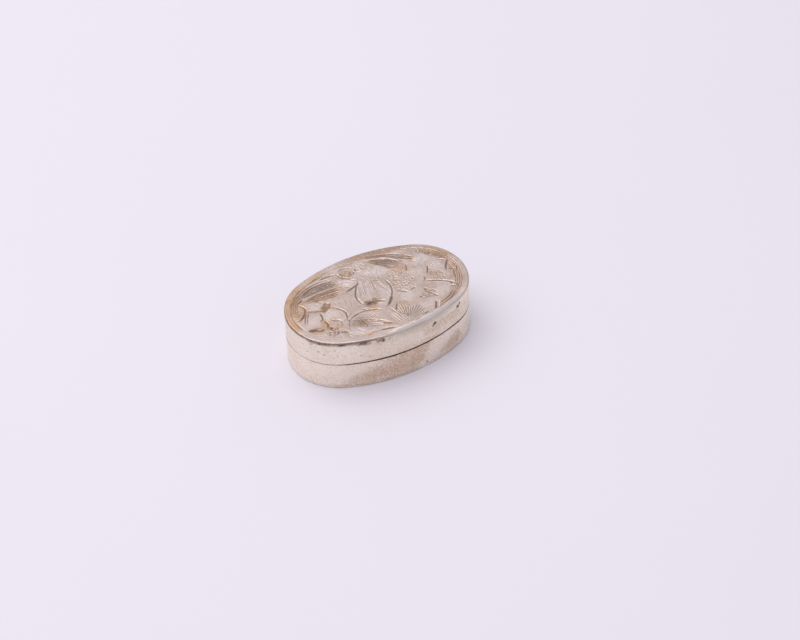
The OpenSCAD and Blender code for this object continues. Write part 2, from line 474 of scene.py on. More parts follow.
def dome_on_front(x, z, radius, stand, first):
    """A ball sunk in the front of the bezel so that only a low pip stands out."""
    surface_r = SIDE_R - BASE_WALL_T
    surface_y = SIDE_CENTRE - math.sqrt(surface_r ** 2 - x ** 2)
    depth = radius - stand
    cap = math.sqrt(radius ** 2 - (depth - 0.05) ** 2)
    rings, steps = 6, 24
    turns = round_turns(steps)
    points = []
    for ring in range(rings):
        wide = cap * (1 - ring / rings)
        out = math.sqrt(radius ** 2 - wide ** 2)
        points.append(np.column_stack([
            x + wide * np.cos(turns), np.full(steps, surface_y + depth - out),
            z + wide * np.sin(turns),
        ]))
    points.append(np.array([[x, surface_y - stand, z], [x, surface_y + 0.05, z]]))
    faces = loop_faces(rings, steps, first=first)
    top, back = first + rings * steps, first + rings * steps + 1
    last = first + (rings - 1) * steps
    for i in range(steps):
        j = (i + 1) % steps
        faces += [(last + i, last + j, top), (first + j, first + i, back)]
    return np.vstack(points), faces


def build_bearer(inner_silver):
    """The curved strip inside the lid wall, behind the hinge."""
    low_z, high_z = BEARER_LOW[2], BEARER_HIGH[2]
    outer, inner = LID_WALL_T, LID_WALL_T + 0.5
    edge = 0.1
    profile = [(outer, low_z), (outer, high_z)]
    profile += arc((inner - edge, high_z - edge), edge, 90, 0, 5)
    profile += arc((inner - edge, low_z + edge), edge, 0, -90, 5)
    half_turn = math.asin(BEARER_HIGH[0] / (SIDE_R - outer))
    angles = math.pi / 2 + np.linspace(-half_turn, half_turn, 41)
    points = []
    for angle in angles:
        for inset, z in profile:
            x, y = on_outline(angle, inset)
            points.append((float(x), float(y), z))
    count = len(profile)
    faces = loop_faces(len(angles), count)
    faces += [tuple(range(count))[::-1], tuple(range(len(points) - count, len(points)))]
    points = np.array(points)
    stain = 0.4 * smooth(waves(*points.T, 3, 52), -0.3, 0.8)
    grime = 0.6 * fade(points[:, 2], low_z, low_z + 0.3)
    make_piece("hinge_bearer", points, faces, inner_silver, LID, stain=stain, grime=grime)


# ---- the hinge

def knuckle_radius(turns, x, side):
    """Outer radius of a knuckle in each direction, with the solder leaf to its wall.
    The leaf slopes from the tube's root up to a foot on the wall, and ends inside the wall."""
    wall = math.sqrt(SIDE_R ** 2 - x ** 2) - SIDE_CENTRE - HINGE[1]
    c, s = np.cos(turns), np.sin(turns) * side
    root_y, root_z, foot_z, sunk = 0.16, 0.82, 1.36, 0.25
    run_y, run_z = wall - root_y, foot_z - root_z
    toward_slope = np.maximum(c * run_z - s * run_y, 1e-6)
    slope = (root_y * run_z - root_z * run_y) / toward_slope
    root_turn, foot_turn = math.atan2(root_z, root_y), math.atan2(foot_z, wall)
    share = (np.arctan2(s, c) - root_turn) / (foot_turn - root_turn)
    slope *= 1 - 0.1 * np.sin(math.pi * np.clip(share, 0, 1))
    top = (foot_z + 0.15) / np.maximum(s, 1e-6)
    back = (wall - sunk) / np.minimum(c, -1e-6)
    leaf = np.minimum(slope, np.minimum(top, np.where(c < 0, back, top)))
    return np.maximum(KNUCKLE_R, np.where(share > 0, leaf, 0))


def build_knuckle(name, side, hinge_silver):
    low, high = node_box(name)
    steps, edge = 160, 0.07
    turns = round_turns(steps)
    ends = [(0, edge), (0.02, 0.03), (edge, 0)]
    sections = [(low[0] + run, drop) for run, drop in ends]
    sections += [(x, 0) for x in np.linspace(low[0] + 0.2, high[0] - 0.2, 6)]
    sections += [(high[0] - run, drop) for run, drop in ends[::-1]]
    rings = [(x, knuckle_radius(turns, x, side) - drop) for x, drop in sections]
    rings += [(high[0], BORE_R + 0.03), (high[0] - 0.04, BORE_R)]
    rings += [(low[0] + 0.04, BORE_R), (low[0], BORE_R + 0.03)]
    points = tube_rings(rings, steps)
    faces = loop_faces(len(rings), steps, closed=True)
    x, y, z = points.T
    away = np.hypot(y - HINGE[1], z - HINGE[2])
    end_gap = np.minimum(x - low[0], high[0] - x)
    grime = 0.85 * fade(end_gap, 0.02, 0.14)
    grime = np.maximum(grime, 0.5 * smooth(HINGE[1] - y, 0.1, 0.5))
    grime = np.maximum(grime, 0.9 * (away < BORE_R + 0.1))
    stain = 0.55 * smooth(away, KNUCKLE_R, KNUCKLE_R + 0.3) + 0.3 * smooth(waves(x, y, z, 1.6, 61), 0, 1)
    make_piece(name, points, faces, hinge_silver, side, stain=stain, grime=grime)


def build_pin(pin_silver):
    head_r = (PIN_HIGH[1] - PIN_LOW[1]) / 2
    end, neck = PIN_HIGH[0], PIN_HIGH[0] - 0.2
    head = [(end, 0.04), (end - 0.01, 0.22), (end - 0.05, 0.4), (end - 0.12, head_r - 0.03),
            (neck + 0.02, head_r), (neck, head_r - 0.04), (neck, PIN_R)]
    rings = [(-x, r) for x, r in head] + [(x, r) for x, r in head[::-1]]
    steps = 64
    points = tube_rings(rings, steps)
    faces = loop_faces(len(rings), steps)
    faces += [tuple(range(steps))[::-1], tuple(range(len(points) - steps, len(points)))]
    grime = 0.6 * fade(np.abs(points[:, 0]), neck, neck + 0.08)
    stain = np.full(len(points), 0.2)
    make_piece("hinge_pin", points, faces, pin_silver, BASE, stain=stain, grime=grime)


# ---- plates

def oval_field(across, along, inset):
    """Grid points that fill the oval drawn in by inset, their quads and their outer loop."""
    u, v = np.meshgrid(np.linspace(-1, 1, across + 1), np.linspace(-1, 1, along + 1))
    disc_x, disc_y = u * np.sqrt(1 - v * v / 2), v * np.sqrt(1 - u * u / 2)
    radius, turn = np.hypot(disc_x, disc_y), np.arctan2(disc_y, disc_x)
    direction = np.arctan2(HALF_WIDTH * np.sin(turn), HALF_LENGTH * np.cos(turn))
    far = radius * reach(direction, inset)
    x, y = far * np.cos(direction), far * np.sin(direction)
    row = across + 1
    index = np.arange((along + 1) * row).reshape(along + 1, row)
    quads = np.stack([
        index[:-1, :-1], index[:-1, 1:], index[1:, 1:], index[1:, :-1]
    ], axis=-1).reshape(-1, 4)
    loop = np.concatenate([
        index[0, :-1], index[:-1, -1], index[-1, :0:-1], index[:0:-1, 0]
    ])
    return x.ravel(), y.ravel(), [tuple(q) for q in quads.tolist()], loop


def build_plate(across, along, field_inset, top_z, rim):
    """A plate whose top is a grid, whose edge follows rim, a list of (inset, z), and whose
    underside is one flat face. Returns its points and faces."""
    x, y, faces, loop = oval_field(across, along, field_inset)
    points = [np.column_stack([x, y, np.full_like(x, top_z)])]
    direction = outline_of(x[loop], y[loop])[1]
    count, first = len(loop), len(x)
    for i in range(count):
        j = (i + 1) % count
        faces.append((int(loop[j]), int(loop[i]), first + i, first + j))
    for inset, z in rim:
        ring_x, ring_y = on_outline(direction, inset)
        points.append(np.column_stack([ring_x, ring_y, np.full_like(ring_x, z)]))
    faces += [face[::-1] for face in loop_faces(len(rim), count, first=first)]
    last = first + (len(rim) - 1) * count
    faces.append(tuple(range(last, last + count))[::-1])
    return np.vstack(points), faces


def build_base_plate(base_silver):
    edge, foot = 0.03, 0.2
    rim = arc((edge, BASE_PLATE_TOP - edge), edge, 90, 180, 4)
    rim += line((0, BASE_PLATE_TOP - edge), (0, foot), 7)[1:-1]
    rim += arc((foot, foot), foot, 180, 270, 8) + [(1.5, 0)]
    points, faces = build_plate(150, 100, 1.6, BASE_PLATE_TOP, rim)
    points = dent_base(points)
    x, y, z = points.T
    inset = outline_of(x, y)[0]
    inside = (z > BASE_PLATE_TOP - 0.05) & (inset > BASE_WALL_T + BEZEL_T)
    corner = fade(inset, BASE_WALL_T + BEZEL_T, BASE_WALL_T + BEZEL_T + 1.2)
    stain = np.where(inside, 0.7 + 0.25 * corner, wall_marks(points, BASE)[0])
    under = 0.25 + 0.35 * smooth(waves(x, y, z, 6, 53), 0, 1)
    stain = np.where(z < 0.01, under, stain)
    # darker in patches along the foot's lower edge
    dark_foot_edge = 0.4 * fade(z, 0.02, 0.3) * smooth(waves(x, y, 0, 2.5, 54), -0.7, 0.4)
    joint_dirt = 0.5 * fade(np.abs(z - BASE_PLATE_TOP), 0.02, 0.06)
    # an even darkening of the inside floor, painted shade that dims its reflection, darker still toward the
    # corner by the wall
    inside_dirt_and_shade = 0.35 + 0.4 * corner ** 3
    grime = np.where(inside, inside_dirt_and_shade, np.maximum(dark_foot_edge, joint_dirt))
    grime *= z > 0.01
    make_piece("base_plate", points, faces, base_silver, BASE, stain=stain, grime=grime)


# ---- engraving

def smooth_curve(points, steps=6):
    """A smooth curve through a few given points in plan."""
    p = np.array(points, dtype=float)
    if len(p) == 2:
        return p
    p = np.vstack([2 * p[0] - p[1], p, 2 * p[-1] - p[-2]])
    t = np.linspace(0, 1, steps, endpoint=False)[:, None]
    runs = [
        0.5 * (2 * b + (c - a) * t + (2 * a - 5 * b + 4 * c - d) * t ** 2
               + (3 * b - a - 3 * c + d) * t ** 3)
        for a, b, c, d in zip(p[:-3], p[1:-2], p[2:-1], p[3:])
    ]
    return np.vstack(runs + [p[-2:-1]])


def along(points, share):
    """The place at a share of the length of a smooth curve."""
    curve = smooth_curve(points)
    walked = np.concatenate([[0], np.cumsum(np.hypot(*np.diff(curve, axis=0).T))])
    at = share * walked[-1]
    return np.interp(at, walked, curve[:, 0]), np.interp(at, walked, curve[:, 1])


class Engraver:
    """Cuts into the lid's skin. Its fields hold how deep, swollen, stained, dirty, lightened (as bare metal,
    and by painted highlights), amber and bare as a petal the skin is at each of its points in plan, x and y."""

    def __init__(self, x, y):
        names = ("depth", "swell", "stain", "grime", "bright", "amber", "petal")
        self.x, self.y = x, y
        self.fields = {name: np.zeros_like(x) for name in names}

    def near(self, places, reach_out):
        """Indices of the points inside the box round some places, let out by reach_out."""
        low, high = np.min(places, axis=0) - reach_out, np.max(places, axis=0) + reach_out
        return np.flatnonzero(
            (self.x > low[0]) & (self.x < high[0]) & (self.y > low[1]) & (self.y < high[1])
        )

    def lay(self, name, values, index=slice(None)):
        """Lifts a field to the given values wherever it is lower."""
        field = self.fields[name]
        field[index] = np.maximum(field[index], values)

    def cut(self, points, width=0.3, depth=0.08, dark=0.6, bright=0.0):
        """One stroke of the graver, tapered at both ends, with a painted highlight along both its lips."""
        curve = smooth_curve(points)
        index = self.near(curve, width)
        if not len(index):
            return
        start, step = curve[:-1], np.diff(curve, axis=0)
        length = np.hypot(step[:, 0], step[:, 1])
        dx = self.x[index, None] - start[:, 0]
        dy = self.y[index, None] - start[:, 1]
        share = np.clip((dx * step[:, 0] + dy * step[:, 1]) / length ** 2, 0, 1)
        away = np.hypot(dx - share * step[:, 0], dy - share * step[:, 1])
        nearest = away.argmin(axis=1)
        row = np.arange(len(index))
        walked = np.concatenate([[0], np.cumsum(length)])
        place = (walked[nearest] + share[row, nearest] * length[nearest]) / walked[-1]
        taper = np.clip(np.minimum(place, 1 - place) * 4, 0.2, 1) ** 0.6
        off_line = away[row, nearest] / (width / 2 * taper)
        groove = np.clip(1 - off_line ** 2, 0, 1) * taper
        # painted highlight: a light line along both sides of the groove
        lip = np.clip(1 - np.abs(off_line - 1.35) / 0.45, 0, 1)
        self.lay("depth", depth * groove, index)
        self.lay("grime", dark * groove, index)
        self.lay("bright", np.maximum(bright * groove, 0.28 * dark * lip * taper), index)

    def cuts(self, *strokes):
        """Strokes, each (points, width, depth, dark) and perhaps how much a painted highlight lightens them.
        """
        for stroke in strokes:
            self.cut(*stroke)

    def hatch(self, starts, ends, count, width=0.26, depth=0.08, dark=0.55, middles=None, stray=0.06):
        """A row of strokes from one curve to another, spaced a little unevenly."""
        for share in (np.arange(count) + 0.5) / count:
            uneven = share + random.uniform(-0.25, 0.25) / count
            stroke = [along(curve, uneven) for curve in (starts, middles, ends) if curve]
            stroke = np.array(stroke) + random.uniform(-stray, stray, (len(stroke), 2))
            self.cut(stroke, width * random.uniform(0.75, 1.2), depth * random.uniform(0.7, 1.2), dark)

    def pit(self, place, radius=0.3, depth=0.1, dark=0.9):
        """A round hole."""
        index = self.near([place], radius)
        away = np.hypot(self.x[index] - place[0], self.y[index] - place[1]) / radius
        hole = np.clip(1 - away ** 2, 0, 1)
        self.lay("depth", depth * hole, index)
        self.lay("grime", dark * hole, index)

    def pits(self, *holes):
        """Round holes, each (place, radius) and perhaps depth and dark."""
        for hole in holes:
            self.pit(*hole)

    def stipple(self, place, size, count, turn=0.0, radius=0.17, depth=0.07, dark=0.5):
        """Punched ground inside an ellipse."""
        c, s = math.cos(math.radians(turn)), math.sin(math.radians(turn))
        for _ in range(count):
            far, way = math.sqrt(random.uniform()), random.uniform(0, 2 * math.pi)
            u, v = far * size[0] * math.cos(way), far * size[1] * math.sin(way)
            spot_at = (place[0] + u * c - v * s, place[1] + u * s + v * c)
            self.pit(spot_at, radius * random.uniform(0.7, 1.3), depth * random.uniform(0.6, 1.2), dark)

    def tint(self, name, place, size, amount=1.0, turn=0.0, soft=0.4):
        """A ragged patch in one of the fields."""
        index = self.near([place], 1.6 * max(size))
        x, y = self.x[index], self.y[index]
        drift = 0.3 * min(size)
        shift_x = drift * waves(x, y, 0, 1.3, 71)
        shift_y = drift * waves(x, y, 0, 1.3, 72)
        patch = spot(x + shift_x, y + shift_y, place, size, turn, soft)
        self.lay(name, amount * patch, index)

    def tints(self, name, *patches):
        """Patches in one field, each (place, size, amount) and perhaps turn."""
        for patch in patches:
            self.tint(name, *patch)

    def mounds(self, *mounds):
        """Low mounds, as on petals, each (place, size, height) and perhaps turn."""
        for place, size, height, *turn in mounds:
            index = self.near([place], 1.6 * max(size))
            mound = spot(self.x[index], self.y[index], place, size, *(turn or [0]), soft=0.6)
            self.fields["swell"][index] += height * mound


def engrave_left_end(graver):
    """Border lines and the oval petal at the left end."""
    graver.cuts(
        ([(-16, 5), (-15.1, 3.2), (-15.6, 1.6), (-17.2, 0.2), (-18.3, 0.3)], 0.5, 0.14, 0.7),
        ([(-18.3, 0.4), (-18.5, 2.2), (-17.4, 4.2), (-16.1, 5)], 0.3, 0.09, 0.5),
    )
    for i in range(4):
        turns = np.radians(np.linspace(178 - 4 * i, 110 + 5 * i, 7))
        line_x, line_y = on_outline(turns, 1.7 + 0.36 * i)
        graver.cut(list(zip(line_x, line_y)), 0.28, 0.1, 0.5)
    graver.hatch([(-17.7, 1.2), (-17.3, 4.2)], [(-15.8, 1.7), (-15.9, 4.2)], 6, 0.24, 0.06, 0.45)
    graver.stipple((-17, 2.6), (0.9, 1.8), 30, -15, dark=0.5)
    graver.tint("amber", (-16.8, 2.8), (2.2, 3.4), 0.8, -15)
    graver.mounds(((-17, 2.6), (1.3, 2.4), 0.04, -15))


def engrave_long_leaf(graver):
    """The long leaf along the back left, shaded by a fan of cuts."""
    graver.cuts(
        ([(-16, 4.8), (-15.4, 6.1), (-14.7, 7), (-12, 8.3), (-9, 8.9), (-6.2, 8.8)], 0.36, 0.12, 0.8),
        ([(-8.8, 9.3), (-6.8, 9.6), (-4.8, 9.4)], 0.45, 0.13, 0.9),
        ([(-4.4, 7.9), (-3, 6.6), (-1.7, 5.3)], 0.26, 0.08, 0.6),
        ([(-16, 4.8), (-15, 5.3), (-13.9, 5.7)], 0.5, 0.14, 0.95),
        ([(-13.9, 5.7), (-12, 6.2), (-9, 6.4), (-5, 6.1)], 0.3, 0.1, 0.8),
        ([(-5.6, 3.3), (-3.6, 3.9), (-2.2, 4.4), (-1.7, 5.2)], 0.55, 0.15, 0.95),
    )
    graver.hatch(
        [(-15.2, 6.3), (-15.4, 5.6)], [(-6, 8.5), (-5, 6.4)], 5, 0.34, 0.14, 1,
        middles=[(-11, 8.2), (-11, 6.5)],
    )
    graver.hatch(
        [(-15.6, 4.9), (-13.4, 4.2)], [(-4.8, 5.8), (-6.2, 2.9)], 6, 0.34, 0.13, 0.95,
        middles=[(-11, 5.9), (-10, 3.3)],
    )
    graver.hatch(
        [(-14.6, 6.9), (-10, 8.6), (-6.6, 8.5)], [(-14, 6), (-10, 6.6), (-6.2, 6.5)], 14, 0.2, 0.05, 0.3,
    )
    graver.hatch([(-11.4, 8), (-11, 6.8)], [(-5.4, 8.2), (-5.2, 6.4)], 4, 0.3, 0.12, 1)
    graver.hatch([(-11.6, 5.6), (-10.4, 3.6)], [(-5, 5.9), (-6.4, 3.2)], 4, 0.3, 0.12, 0.95)
    graver.hatch([(-12.4, 9), (-11.8, 10.2)], [(-7.4, 10.4), (-6.8, 11.2)], 4, 0.3, 0.1, 0.6)
    graver.tints(
        "stain", ((-10, 5.8), (4.9, 2.7), 0.4, 4), ((-8.6, 6.3), (3.4, 2.2), 0.55, -4),
        ((-9, 9.9), (1.8, 0.5), 0.5, 18), ((-12.6, 7.2), (2.8, 0.8), 0.6, 25),
    )
    graver.tints("amber", ((-9.6, 10.3), (2.6, 0.7), 0.6, 18), ((-9.6, 4.6), (4.2, 1.6), 0.7, 4))
    graver.mounds(((-3.6, 5.9), (1.8, 1.2), 0.05, -20))


def engrave_top_buds(graver):
    """A bud and a faint round flower at the back of the field."""
    graver.cuts(
        ([(-4.6, 9.5), (-4.4, 8.2), (-3.2, 7), (-2, 6.9)], 0.42, 0.12, 0.9),
        ([(-4.5, 9.9), (-2.8, 10.3), (-1, 9.6)], 0.32, 0.1, 0.75),
        ([(-1.3, 8.8), (-1.2, 8.2), (-1.6, 7.6)], 0.32, 0.1, 0.75),
        ([(0.3, 8.5), (1.5, 8.5)], 0.3, 0.09, 0.65),
        ([(-4.3, 10.9), (-1.6, 11.1), (1.2, 10.9)], 0.3, 0.08, 0.45),
    )
    graver.pit((-0.5, 8.7), 0.36)
    graver.stipple((-2.9, 8.3), (1.5, 1.2), 40, dark=0.7)
    for turn in range(0, 360, 36):
        c, s = math.cos(math.radians(turn)), math.sin(math.radians(turn))
        graver.cut([(0.4 + 0.5 * c, 7.2 + 0.5 * s), (0.4 + 1.4 * c, 7.2 + 1.4 * s)], 0.22, 0.06, 0.35)
    graver.tint("stain", (-2.9, 8.3), (1.8, 1.5), 0.55)


def engrave_right_leaves(graver):
    """Two dark leaves side by side at the back right, with a painted highlight along the rib between them.
    """
    graver.cuts(
        ([(2.3, 10.3), (4.6, 9.4), (7.2, 8), (9.3, 6.3)], 0.4, 0.12, 0.9),
        ([(2.3, 10.2), (3.6, 8.7), (5, 7.2), (6.2, 5.9), (8, 5.4)], 0.4, 0.12, 0.85),
        # painted highlight along the rib
        ([(4.5, 10), (7, 8.6), (9, 6.7), (9.8, 5.9)], 0.4, 0.03, 0, 1),
        ([(2.9, 11.3), (6, 10.4), (9, 8.9), (11.9, 6.5)], 0.36, 0.11, 0.8),
    )
    graver.hatch(
        [(2.4, 10.3), (3.2, 9.3)], [(9.2, 6.2), (6.5, 5.5)], 9, 0.3, 0.11, 0.8,
        middles=[(5.8, 8.8), (4.6, 7.5)],
    )
    graver.hatch(
        [(2.9, 11.2), (4.4, 10.3)], [(11.9, 6.5), (10.1, 5.2)], 7, 0.28, 0.1, 0.7,
        middles=[(7.2, 10), (6.9, 9)],
    )
    for stroke in ([(9.2, 8), (11.8, 6.4)], [(9.8, 7), (11.9, 5.6)], [(10, 6), (11.6, 4.9)]):
        graver.cut(stroke, 0.36, 0.12, 0.85)
    graver.tints(
        "stain", ((6, 7.6), (3.7, 1.5), 0.85, -38), ((5, 10.6), (2.8, 0.8), 1, -18),
        ((9, 8.2), (3.2, 1.1), 0.6, -40), ((10.6, 6.8), (1.6, 0.9), 0.9, -40),
    )


def engrave_big_flower(graver):
    """The open flower in the middle, with a stippled ground to its right."""
    graver.cuts(
        ([(-1.6, 5.1), (-3.2, 3.2), (-4.3, 1), (-4.3, -1), (-3.6, -2.4)], 0.42, 0.13, 0.9),
        ([(3.2, 2.2), (3.4, 0.2), (2.6, -1.8), (1.1, -3.7), (-0.6, -5.1)], 0.45, 0.13, 0.85),
        ([(2.6, -2), (1.1, -3.8), (0.1, -4.7)], 0.8, 0.16, 0.95),
        ([(-5.1, -3), (-4, -3.6)], 0.38, 0.11, 0.75), ([(3.3, 3), (3.6, 1), (3.2, -0.5)], 0.36, 0.11, 0.8),
        ([(3.9, -1.2), (4.8, -2.1), (5.8, -2.9)], 0.5, 0.13, 0.85),
    )
    graver.hatch(
        [(-3.7, 0.1), (-1.6, 0.1), (0.4, 0.6)], [(-2.2, 4.2), (-1, 4.7), (1.2, 4.6)], 11, 0.24, 0.08, 0.5,
    )
    graver.hatch([(-3.3, 1.6), (-2.6, 3.6)], [(-1.2, 1.4), (0.4, 3.4)], 6, 0.22, 0.07, 0.4)
    graver.hatch([(-3.9, -1.8), (-3.3, -2.8)], [(-0.6, -1.6), (-1, -2.9)], 5, 0.28, 0.12, 0.9, stray=0.15)
    graver.hatch([(-1.4, -1.7), (-1.6, -3)], [(0.7, -2.8), (-0.2, -3.9)], 4, 0.28, 0.1, 0.7, stray=0.12)
    for i in range(5):
        start_x, start_y = 0.9 + 0.16 * i, 4.1 - 0.72 * i
        graver.cut([(start_x, start_y), (start_x + 1.2 - 0.1 * i, start_y - 0.8)], 0.3, 0.1, 0.8)
    graver.stipple((6, 1), (2.7, 3.2), 250, radius=0.19, depth=0.06, dark=0.3)
    graver.tint("grime", (-2.4, -2.2), (1.5, 0.6), 0.9, -8, 0.8)
    graver.tints("stain", ((-2.2, -2.2), (2, 1.1), 0.9), ((6, 1), (2.8, 3.4), 0.12))
    graver.tint("amber", (-3, -3.8), (1.5, 0.8), 0.7)
    graver.mounds(((-0.4, 1.4), (3.2, 3.2), 0.05))


def engrave_right_petals(graver):
    """Petals, stem and border arcs at the right end."""
    graver.cuts(
        ([(9.4, 5.2), (9, 4.1), (8.5, 3)], 0.36, 0.11, 0.8),
        ([(13.2, 2.7), (12.5, 1.3), (11.8, 0.1)], 0.4, 0.12, 0.85),
        ([(11.2, -0.2), (10.2, -1.6)], 0.34, 0.1, 0.7),
        ([(10, -1.6), (11.2, -1.9), (12.6, -2.7), (14.3, -3.9), (16, -5.6)], 0.45, 0.14, 0.95),
        # painted highlight beside the stem
        ([(11.2, -2.6), (13, -3.7), (14.8, -5)], 0.34, 0.03, 0, 0.8),
        ([(14, -5.4), (14.9, -5.9), (15.6, -6.4)], 0.38, 0.12, 0.9),
        ([(18, 2.6), (17.2, 1.6), (16.2, 0.2), (15.7, -1.2)], 0.5, 0.14, 0.85),
        ([(18.9, 1.2), (18.4, -0.4), (17.5, -2.2)], 0.42, 0.1, 0.9),
        ([(17.4, -1), (16.8, -2.4), (16.2, -4.4)], 0.36, 0.1, 0.8),
        ([(16, 3.9), (17.8, 2.8)], 0.36, 0.12, 0.95), ([(15.7, 3.3), (17.2, 2.2)], 0.32, 0.1, 0.8),
    )
    graver.pits(((14.9, -4.8), 0.42), ((15.7, -5.7), 0.42), ((18.2, 0.2), 0.36), ((16.9, -0.7), 0.36))
    graver.stipple((13.4, -1.3), (1.5, 1.8), 70, dark=0.5)
    graver.hatch(
        [(9, -9.4), (9.6, -10.4)], [(14.4, -6.6), (15.2, -7.6)], 3, 0.36, 0.1, 0.75,
        middles=[(12, -8.3), (12.8, -9.2)], stray=0.15,
    )
    for i in range(3):
        line_x, line_y = on_outline(np.radians(np.linspace(-62 + 6 * i, 18, 9)), 1.9 + 0.42 * i)
        graver.cut(list(zip(line_x, line_y)), 0.28, 0.08, 0.45)
    for name in ("stain", "amber"):
        graver.tints(
            name, ((17.2, -1.8), (1.3, 4.4), 0.45, -14), ((14.2, -7.2), (3.2, 1.1), 0.45, 38),
            ((10.6, -9.5), (2.6, 0.9), 0.45, 20),
        )
    graver.hatch(
        [(13.4, 8.4), (16.2, 6), (17.9, 3.4)], [(12.9, 7.3), (14.8, 5.2), (16.2, 3.4)], 10, 0.28, 0.11, 0.65,
    )
    graver.tints(
        "stain", ((13.4, -1.3), (1.6, 1.9), 0.15), ((15.8, 5.9), (3.3, 1.2), 0.7, -48),
        ((17.4, 4.2), (1.6, 0.9), 1, -60),
    )
    graver.tint("amber", (16.4, 5.6), (3.6, 1.6), 0.6, -50)
    graver.mounds(((14.6, 1.8), (1.4, 1.8), 0.05, 35), ((11, 2.8), (1.6, 2), 0.05, 30))


def engrave_front_right(graver):
    """A hatched diamond and a fan of rays along the front right."""
    graver.cuts(
        ([(10, -6.3), (10.6, -7)], 0.42, 0.12, 0.95), ([(6.3, -2.6), (7.9, -2.2)], 0.34, 0.11, 0.85),
        ([(8, -10.5), (8.9, -9.2), (9.6, -7.8)], 0.5, 0.14, 0.9),
        # painted highlight beside the cut above
        ([(8.6, -10.6), (9.5, -9.3), (10.2, -7.9)], 0.34, 0.03, 0, 0.9),
        ([(2.3, -4.7), (1.4, -6), (0.9, -7)], 0.4, 0.12, 0.85),
        ([(4.9, -10.2), (5.9, -10.4), (6.8, -10.1)], 0.46, 0.13, 0.9),
    )
    graver.pits(((7.4, -5.5), 0.36), ((9.2, -3.9), 0.4))
    graver.hatch(
        [(7.2, -5.6), (8.2, -3.8), (10.4, -4.4)], [(8.2, -6.6), (10.6, -7), (11, -5.2)], 9, 0.24, 0.08, 0.65,
    )
    focus, rays = (1.6, -11), 14
    for i in range(rays):
        turn = math.radians(104 - 88 * i / (rays - 1))
        far = random.uniform(5, 6.2)
        near_end, far_end = (
            (focus[0] + length * math.cos(turn), focus[1] + length * math.sin(turn))
            for length in (1.6, far)
        )
        graver.cut([near_end, far_end], 0.28, 0.09, 0.6)
    for i in range(4):
        # painted highlights, each beside a dark cut
        graver.cut([(-0.9 + 0.62 * i, -6.9), (-0.2 + 0.6 * i, -10.6)], 0.3, 0.03, 0, 0.9)
        graver.cut([(-0.6 + 0.62 * i, -7), (0.1 + 0.6 * i, -10.4)], 0.26, 0.09, 0.55)
    graver.stipple((2, -8.5), (1.2, 1.1), 22, dark=0.8)
    graver.tints(
        "stain", ((9.1, -5.3), (1.9, 1.4), 0.35, -35), ((3.2, -5.6), (1.7, 1.1), 0.45, -25),
        ((1.6, -8.6), (1.8, 1.6), 0.4),
    )
    graver.tints("grime", ((8.8, -5.6), (1.6, 0.7), 0.3, -40), ((9.6, -4.9), (1, 0.5), 0.4, -50))


def engrave_lower_leaf(graver):
    """The leaf in front of the big flower."""
    graver.cuts(
        ([(-8.8, -4.9), (-7.2, -4), (-5, -3.7), (-3, -4.2), (-1, -5.4)], 0.38, 0.12, 0.85),
        ([(-8.5, -5), (-5, -6.5), (-1.2, -9.6)], 0.3, 0.09, 0.65),
        ([(-3.2, -8.4), (-2.2, -9.3), (-1.2, -9.9)], 0.55, 0.14, 0.95),
        ([(-4.8, -10.4), (-3, -10.8), (-1, -11.3)], 0.6, 0.14, 0.95),
    )
    graver.pit((-8.7, -4.8), 0.36)
    graver.hatch([(-7.4, -4.8), (-3.6, -4.6)], [(-7, -8.4), (-2.4, -7.4)], 8, 0.22, 0.04, 0.12)
    graver.hatch([(-5.6, -7), (-6.2, -8.4)], [(-2.2, -8.4), (-3.4, -9.8)], 4, 0.28, 0.07, 0.5)
    graver.tints("amber", ((-6.6, -6.4), (1.8, 1.6), 0.15), ((-7, -10.3), (1.5, 0.5), 0.9, -6))
    graver.tint("stain", (-4.2, -7), (2, 1.2), 0.45, -30)
    graver.mounds(((-3.2, -7.8), (2.6, 1.4), 0.02, -40))


